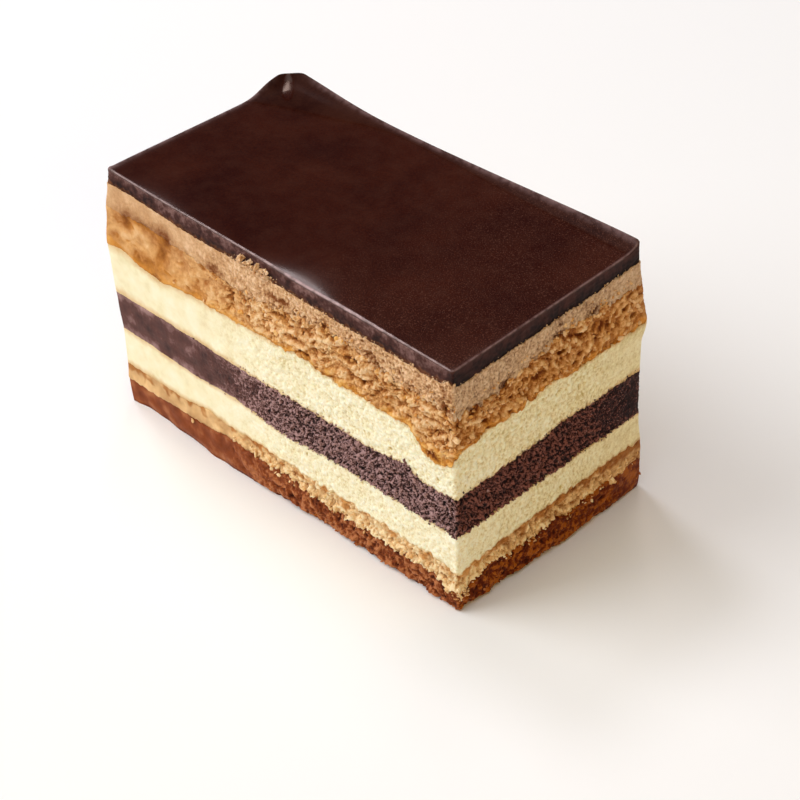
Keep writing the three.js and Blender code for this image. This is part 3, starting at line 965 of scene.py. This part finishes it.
def unit_lumps(fineness):
    """Rough lumps of about unit radius, and the triangles that they share."""
    shape = bmesh.new()
    bmesh.ops.create_icosphere(shape, subdivisions=fineness, radius=1)
    points = np.array([vertex.co for vertex in shape.verts])
    triangles = np.array([[vertex.index for vertex in face.verts] for face in shape.faces])
    shape.free()
    kinds = points + LUMP_SPACING * np.arange(LUMP_KINDS)[:, None, None]
    swell = LUMP_ROUGHNESS * fractal(kinds, LUMP_GRAIN, LUMP_SEED, 2)
    return points * (1 + swell)[..., None], triangles


def crumb_places(walls, draw, sets):
    """The middles and sizes of a kind's crumbs."""
    middles = []
    sizes = []
    for layer, count, (least, most), (low, high), (start, end) in sets:
        wall = walls[layer]
        top = len(wall) - 1
        rows = draw.integers(round(low * top), round(high * top) + 1, count)
        stations = draw.integers(np.searchsorted(S, start), np.searchsorted(S, end), count)
        size = least + (most - least) * draw.random(count) ** SMALL_BIAS
        kept = draw.random(count) < CRISP[stations] ** CRISP_BIAS
        rows, stations, size = rows[kept], stations[kept], size[kept]
        out = size * draw.uniform(*CRUMB_STAND, len(size))
        outward = -np.stack([IN_X, IN_Y, np.zeros(COUNT)], axis=-1)[stations]
        middles.append(wall[rows, stations] + outward * out[:, None])
        sizes.append(size)
    return np.concatenate(middles), np.concatenate(sizes)


def crumb_piece(name, fineness, sets, walls, material, seed):
    """All loose crumbs of a kind, as one piece."""
    draw = np.random.default_rng(seed)
    middles, sizes = crumb_places(walls, draw, sets)
    count = len(sizes)
    lumps, triangles = unit_lumps(fineness)
    shapes = lumps[draw.integers(LUMP_KINDS, size=count)]
    shapes = shapes * draw.uniform(*LUMP_STRETCH, (count, 1, 3))
    turns, _ = np.linalg.qr(draw.normal(size=(count, 3, 3)))
    turns *= np.sign(np.linalg.det(turns))[:, None, None]
    points = middles[:, None] + np.einsum("nij,nvj->nvi", turns, shapes) * sizes[:, None, None] / 2
    each = lumps.shape[1]
    faces = triangles + each * np.arange(count)[:, None, None]
    channels = {
        "shade_and_tone": np.repeat(draw.uniform(*CRUMB_HOLLOW, count), each),
        "soak_and_shade": np.repeat(draw.random(count) ** DRY_BIAS, each),
        "crisp": np.ones(count * each),
    }
    make_piece(name, points.reshape(-1, 3), [faces.reshape(-1, 3)], channels, [material], faceted=True)


# ---- materials


def add_node(tree, kind, inputs=None, **settings):
    """Adds a shader node with its settings; an input that is given as a socket is linked."""
    made = tree.nodes.new(kind)
    for name, value in settings.items():
        setattr(made, name, value)
    for name, value in (inputs or {}).items():
        if isinstance(value, bpy.types.NodeSocket):
            tree.links.new(value, made.inputs[name])
        else:
            made.inputs[name].default_value = value
    return made


def new_material(name, **settings):
    """An empty node material with a Principled shader at its output, and the shader's even settings."""
    material = bpy.data.materials.new(name)
    material.use_nodes = True
    tree = material.node_tree
    tree.nodes.clear()
    shader = add_node(tree, "ShaderNodeBsdfPrincipled")
    output = add_node(tree, "ShaderNodeOutputMaterial")
    tree.links.new(shader.outputs["BSDF"], output.inputs["Surface"])
    for setting, value in settings.items():
        shader.inputs[setting.replace("_", " ")].default_value = value
    return material, tree, shader


def linear(red, green, blue):
    """A colour for the shader from its usual 0 to 255 numbers."""
    parts = (np.array([red, green, blue]) / 255 + 0.055) / 1.055
    return (*(parts**2.4), 1.0)


def channel(tree, name):
    return add_node(tree, "ShaderNodeAttribute", attribute_name=name).outputs["Fac"]


def noise(tree, size, detail=2.0, roughness=0.5):
    """Noise with lumps of a size in millimetres."""
    place = add_node(tree, "ShaderNodeTexCoord").outputs["Object"]
    inputs = {"Vector": place, "Scale": 1 / (size * MM), "Detail": detail, "Roughness": roughness}
    return add_node(tree, "ShaderNodeTexNoise", inputs).outputs["Fac"]


def ramp(tree, factor, *stops):
    """A colour ramp. A stop is its position and its red, green and blue, from 0 to 255."""
    made = add_node(tree, "ShaderNodeValToRGB", {"Fac": factor})
    elements = made.color_ramp.elements
    elements[0].position, elements[1].position = stops[0][0], stops[-1][0]
    elements[0].color, elements[1].color = linear(*stops[0][1:]), linear(*stops[-1][1:])
    for position, *colour in stops[1:-1]:
        elements.new(position).color = linear(*colour)
    return made.outputs["Color"]


def fill_sockets(tree, sockets, values):
    for socket, value in zip(sockets, values):
        if isinstance(value, bpy.types.NodeSocket):
            tree.links.new(value, socket)
        else:
            socket.default_value = value


def mix(tree, factor, first, second):
    made = add_node(tree, "ShaderNodeMix", data_type="RGBA")
    fill_sockets(tree, [made.inputs[index] for index in (0, 6, 7)], (factor, first, second))
    return made.outputs[2]


def maths(tree, operation, first, second, clamp=False):
    made = add_node(tree, "ShaderNodeMath", operation=operation, use_clamp=clamp)
    fill_sockets(tree, made.inputs, (first, second))
    return made.outputs[0]


def add(tree, first, second, clamp=False):
    return maths(tree, "ADD", first, second, clamp)


def multiply(tree, first, second):
    return maths(tree, "MULTIPLY", first, second)


def spread(tree, value, low, high, out_low=0.0, out_high=1.0):
    """A value from one range carried over to another, and held inside it."""
    inputs = {"Value": value, "From Min": low, "From Max": high, "To Min": out_low, "To Max": out_high}
    return add_node(tree, "ShaderNodeMapRange", inputs).outputs["Result"]


def add_bump(tree, shader, height, strength, distance):
    """Fine bumps in the shader, with their depth in millimetres."""
    inputs = {"Strength": strength, "Distance": distance * MM, "Height": height}
    tree.links.new(add_node(tree, "ShaderNodeBump", inputs).outputs["Normal"], shader.inputs["Normal"])


NOISE_LOW = 0.3
NOISE_HIGH = 0.7
PATCH_SIZE = 2.4
FINE_SIZE = 0.35

# What the layers look like, by slot. The two colour lists are for dry crumb and for soaked crumb, the second
# in some layers also serving as painted shade on the right face; each runs from the tips to the hollows,
# whose darker colours are painted shade. grain is the size of the finest speckle, and the shares are how
# much speckle and patches change the tone. roughness runs from tips to hollows. gloss is the specular level,
# glow the subsurface weight, and glow_reach how far the glow goes in millimetres.
LOOKS = {
    "coffee_buttercream": dict(
        dry=((0.0, 238, 198, 156), (0.36, 206, 160, 113), (0.58, 186, 138, 92), (1.0, 126, 68, 24)),
        soaked_and_shaded=((0.0, 222, 192, 160), (0.4, 194, 158, 124), (1.0, 96, 56, 30)),
        grain=0.4, grain_share=0.42, patch_share=0.14, roughness=(0.5, 0.75), bump=0.5, gloss=0.2,
        glow=0.12, glow_reach=0.8,
    ),
    "coffee_soaked_sponge": dict(
        dry=((0.0, 242, 204, 156), (0.3, 218, 165, 105), (0.65, 170, 106, 50), (1.0, 98, 44, 10)),
        soaked_and_shaded=((0.0, 238, 182, 98), (0.4, 206, 136, 54), (1.0, 108, 50, 8)),
        grain=0.8, grain_share=0.34, patch_share=0.16, roughness=(0.65, 0.85), bump=0.5, gloss=0.15,
        glow=0.08, glow_reach=0.6,
    ),
    "pale_cream": dict(
        dry=((0.0, 255, 251, 224), (0.4, 248, 236, 195), (1.0, 204, 178, 108)),
        soaked_and_shaded=((0.0, 240, 206, 140), (0.5, 212, 164, 96), (1.0, 136, 88, 42)),
        grain=0.4, grain_share=0.3, patch_share=0.16, roughness=(0.5, 0.7), bump=0.3, gloss=0.3,
        glow=0.12, glow_reach=0.8,
    ),
    "chocolate_sponge": dict(
        dry=((0.0, 178, 140, 136), (0.35, 92, 52, 45), (0.8, 22, 6, 4), (1.0, 10, 2, 1)),
        soaked_and_shaded=((0.0, 140, 84, 72), (0.35, 46, 10, 2), (1.0, 6, 1, 0)),
        grain=0.32, grain_share=0.55, patch_share=0.16, roughness=(0.65, 0.85), bump=0.5, gloss=0.35,
        glow=0.0, glow_reach=0.5,
    ),
    "tan_sponge": dict(
        dry=((0.0, 252, 228, 182), (0.35, 236, 194, 136), (1.0, 150, 92, 42)),
        soaked_and_shaded=((0.0, 216, 158, 92), (0.45, 184, 120, 58), (1.0, 128, 70, 26)),
        grain=0.8, grain_share=0.3, patch_share=0.18, roughness=(0.6, 0.8), bump=0.4, gloss=0.2,
        glow=0.08, glow_reach=0.6,
    ),
    "soaked_base_sponge": dict(
        dry=((0.0, 188, 118, 72), (0.35, 136, 65, 27), (1.0, 58, 17, 3)),
        soaked_and_shaded=((0.0, 168, 92, 22), (0.35, 108, 40, 2), (1.0, 40, 8, 0)),
        grain=0.8, grain_share=0.34, patch_share=0.2, roughness=(0.5, 0.7), bump=0.4, gloss=0.12,
        glow=0.05, glow_reach=0.6,
    ),
}


def varied(tree, noise_value, low, high):
    """Noise, whose usual range is carried over to another."""
    return spread(tree, noise_value, NOISE_LOW, NOISE_HIGH, low, high)


def crumb_material(name, dry, soaked_and_shaded, grain, grain_share, patch_share, roughness, bump, gloss, glow, glow_reach):
    """Cake or cream, with a look from LOOKS."""
    material, tree, shader = new_material(
        name,
        Specular_IOR_Level=gloss,
        Subsurface_Weight=glow,
        Subsurface_Radius=(1.0, 0.6, 0.3),
        Subsurface_Scale=glow_reach * MM,
    )
    speckle = varied(tree, noise(tree, grain, 4.0, 0.7), -grain_share, grain_share)
    patches = varied(tree, noise(tree, PATCH_SIZE), -patch_share, patch_share)
    # Higher levels are darker: hollows and the right face in painted shade, besides tone and stains.
    level = add(tree, channel(tree, "shade_and_tone"), multiply(tree, speckle, channel(tree, "crisp")))
    level = add(tree, level, patches, clamp=True)
    colour = mix(tree, channel(tree, "soak_and_shade"), ramp(tree, level, *dry), ramp(tree, level, *soaked_and_shaded))
    tree.links.new(colour, shader.inputs["Base Color"])
    tree.links.new(spread(tree, level, 0.0, 1.0, *roughness), shader.inputs["Roughness"])
    relief = multiply(tree, noise(tree, FINE_SIZE, 3.0, 0.6), channel(tree, "crisp"))
    add_bump(tree, shader, relief, bump, FINE_SIZE / 2)
    return material


def glaze_top_material():
    """Dark glossy chocolate glaze, matt on its raised lips, with a faint bloom, fine dust on its right part,
    and a pale pinkish line along its rims that is a painted highlight. Its cloudy tone is partly its own and
    partly a painted reflection, and the greyer brown of its lips partly a painted sheen."""
    material, tree, shader = new_material("chocolate_glaze", Specular_Tint=(1.0, 0.86, 0.76, 1.0))
    lip = channel(tree, "lip")
    # The clouds' lighter and darker brown is partly the glaze's own tone and partly a painted reflection.
    clouds = noise(tree, 9.0, 1.0)
    level = add(tree, clouds, varied(tree, noise(tree, 0.3, 2.0), -0.2, 0.2), clamp=True)
    flat = ramp(tree, level, (0.2, 40, 6, 0), (0.8, 58, 18, 3))
    # The lips' greyer brown is partly a painted sheen.
    colour = mix(tree, lip, flat, ramp(tree, level, (0.2, 36, 12, 8), (0.8, 52, 24, 16)))
    bloom = spread(tree, noise(tree, 2.2, 4.0, 0.65), 0.4, 0.75, 0.0, 0.28)
    colour = mix(tree, bloom, colour, linear(72, 41, 30))
    specks = spread(tree, noise(tree, 0.17, 1.0), 0.55, 0.75)
    dust = multiply(tree, specks, spread(tree, channel(tree, "dust"), 0.0, 1.0, 0.05, 0.7))
    colour = mix(tree, dust, colour, linear(98, 62, 50))
    # A painted highlight: a pale pinkish line along the rims, broken up by noise.
    rim_highlight = multiply(tree, channel(tree, "rim"), spread(tree, noise(tree, 1.1, 2.0), 0.35, 0.6, 0.3, 1.0))
    tree.links.new(mix(tree, rim_highlight, colour, linear(166, 136, 136)), shader.inputs["Base Color"])
    rough = add(tree, varied(tree, clouds, 0.16, 0.21), multiply(tree, channel(tree, "dull"), 0.25))
    rough = add(tree, rough, spread(tree, lip, 0.6, 1.0, 0.0, 0.2))
    tree.links.new(rough, shader.inputs["Roughness"])
    tree.links.new(spread(tree, lip, 0.0, 0.6, 0.5, 0.03), shader.inputs["Specular IOR Level"])
    add_bump(tree, shader, noise(tree, 1.4, 1.0), 0.05, 0.05)
    return material


def glaze_wall_material():
    """The same glaze where the knife went through: duller, and stained by crumb at its lower edge.
    Its purple grey is partly a painted sheen; it is drawn darker towards its foot and on the right wall,
    painted shade.
    """
    material, tree, shader = new_material("cut_glaze", Specular_IOR_Level=0.07)
    hatch = noise(tree, 0.9, 4.0, 0.7)
    smears = noise(tree, 2.6, 2.0)
    # Darker towards the foot: painted shade.
    level = add(tree, multiply(tree, channel(tree, "rise"), 0.5), varied(tree, hatch, -0.2, 0.4))
    level = add(tree, level, varied(tree, smears, -0.2, 0.35), clamp=True)
    # The purple grey is partly a painted sheen of the rough cut face.
    colour = ramp(tree, level, (0.1, 36, 12, 8), (0.5, 76, 44, 38), (1.0, 140, 106, 100))
    stain = ramp(tree, hatch, (0.35, 70, 32, 18), (0.65, 140, 86, 50))
    colour = mix(tree, multiply(tree, channel(tree, "torn"), 0.6), colour, stain)
    # Painted shade: the right wall's darker colours.
    soaked_and_shaded = ramp(tree, level, (0.1, 24, 7, 5), (1.0, 78, 46, 42))
    tree.links.new(mix(tree, channel(tree, "soaked_and_shaded"), colour, soaked_and_shaded), shader.inputs["Base Color"])
    tree.links.new(varied(tree, smears, 0.45, 0.6), shader.inputs["Roughness"])
    add_bump(tree, shader, hatch, 0.4, 0.12)
    return material


# ---- floor, light and camera

WORLD_COLOUR = (0.86, 0.9, 1.0, 1.0)
WORLD_STRENGTH = 0.05
FLOOR_HALF = 3.0
FLOOR_COLOUR = (0.95, 0.95, 0.945, 1.0)
AIM = (0.0, 0.0, 0.02)
LAMP_UP = (0.48, 0.85, 0.0)

# The lamps: way to the lamp, distance, length and width in metres, power in watts, colour. The fill lamp only
# warms the shaded walls, so the glaze doesn't mirror it.
LAMPS = {
    "key": ((-0.6, -0.55, 0.58), 1.1, (1.0, 1.0), 9.6, (0.97, 0.98, 1.0)),
    "strip": ((-0.26, 0.36, 0.9), 1.2, (0.6, 0.15), 1.6, (1.0, 0.84, 0.8)),
    "soft": ((0.15, -0.3, 0.94), 1.5, (1.9, 1.9), 10.6, (1.0, 1.0, 1.0)),
    "window": ((-0.57, 0.15, 0.82), 1.2, (0.3, 0.3), 3.0, (0.9, 0.9, 1.0)),
    "fill": ((0.9, -0.25, 0.42), 1.2, (0.8, 0.8), 3.05, (1.0, 0.625, 0.05)),
}
UNMIRRORED = "fill"

# The camera: its place in millimetres and the ways its picture's right, down and depth run.
CAMERA_PLACE = (189.2154, -173.1285, 209.9647)
CAMERA_RIGHT = (0.70416707, 0.70921007, -0.03420258)
CAMERA_DOWN = (0.42124858, -0.45605964, -0.78393829)
CAMERA_AHEAD = (-0.57157534, 0.53761574, -0.61989591)
CAMERA_LENS = 103.5
SENSOR = 36.0


def aimed(place, target):
    """The matrix of a lamp at a place, which shines along its own -Z to a target. Its length lies across
    LAMP_UP."""
    back = np.array(place) - np.array(target)
    back /= np.linalg.norm(back)
    side = np.cross(LAMP_UP, back)
    side /= np.linalg.norm(side)
    up = np.cross(back, side)
    return Matrix([[side[i], up[i], back[i], place[i]] for i in range(3)] + [[0, 0, 0, 1]])


def add_floor():
    mesh = bpy.data.meshes.new("floor")
    corners = [(-1, -1), (1, -1), (1, 1), (-1, 1)]
    mesh.from_pydata([(FLOOR_HALF * x, FLOOR_HALF * y, 0) for x, y in corners], [], [(0, 1, 2, 3)])
    floor = bpy.data.objects.new("floor", mesh)
    bpy.context.scene.collection.objects.link(floor)
    material, _, _ = new_material("floor", Base_Color=FLOOR_COLOUR, Roughness=0.9, Specular_IOR_Level=0.0)
    mesh.materials.append(material)


def add_light():
    """The soft lamps and the dim room."""
    scene = bpy.context.scene
    for name, (way, distance, size, power, colour) in LAMPS.items():
        lamp = bpy.data.lights.new(name, "AREA")
        lamp.shape = "ELLIPSE"
        lamp.size, lamp.size_y = size
        lamp.energy = power
        lamp.color = colour
        holder = bpy.data.objects.new(name, lamp)
        reach = np.array(way) / np.linalg.norm(way) * distance
        holder.matrix_world = aimed(tuple(np.array(AIM) + reach), AIM)
        holder.visible_glossy = name != UNMIRRORED
        scene.collection.objects.link(holder)

    world = bpy.data.worlds.new("room")
    world.use_nodes = True
    background = world.node_tree.nodes["Background"]
    background.inputs["Color"].default_value = WORLD_COLOUR
    background.inputs["Strength"].default_value = WORLD_STRENGTH
    scene.world = world
    scene.view_settings.view_transform = "Standard"


def add_camera():
    data = bpy.data.cameras.new("camera")
    data.lens = CAMERA_LENS
    data.sensor_width = SENSOR
    camera = bpy.data.objects.new("camera", data)
    axes = zip(CAMERA_RIGHT, CAMERA_DOWN, CAMERA_AHEAD, CAMERA_PLACE)
    rows = [[right, -down, -ahead, place * MM] for right, down, ahead, place in axes]
    camera.matrix_world = Matrix(rows + [[0, 0, 0, 1]])
    bpy.context.scene.collection.objects.link(camera)
    bpy.context.scene.camera = camera


def build():
    materials = {slot: crumb_material(slot, **look) for slot, look in LOOKS.items()}
    walls = {"glaze": glaze_piece([glaze_top_material(), glaze_wall_material()])}
    for index, (name, slot, relief, focus) in enumerate(LAYERS):
        above = seam_height(index)
        below = seam_height(index + 1) if index + 1 < len(SEAMS) else np.zeros(COUNT)
        walls[name] = layer_piece(name, below, above, relief, focus, materials[slot])
    for seed, (name, slot, fineness, sets) in enumerate(LOOSE):
        crumb_piece(name, fineness, sets, walls, materials[slot], seed)
    add_floor()
    add_light()
    add_camera()


build()
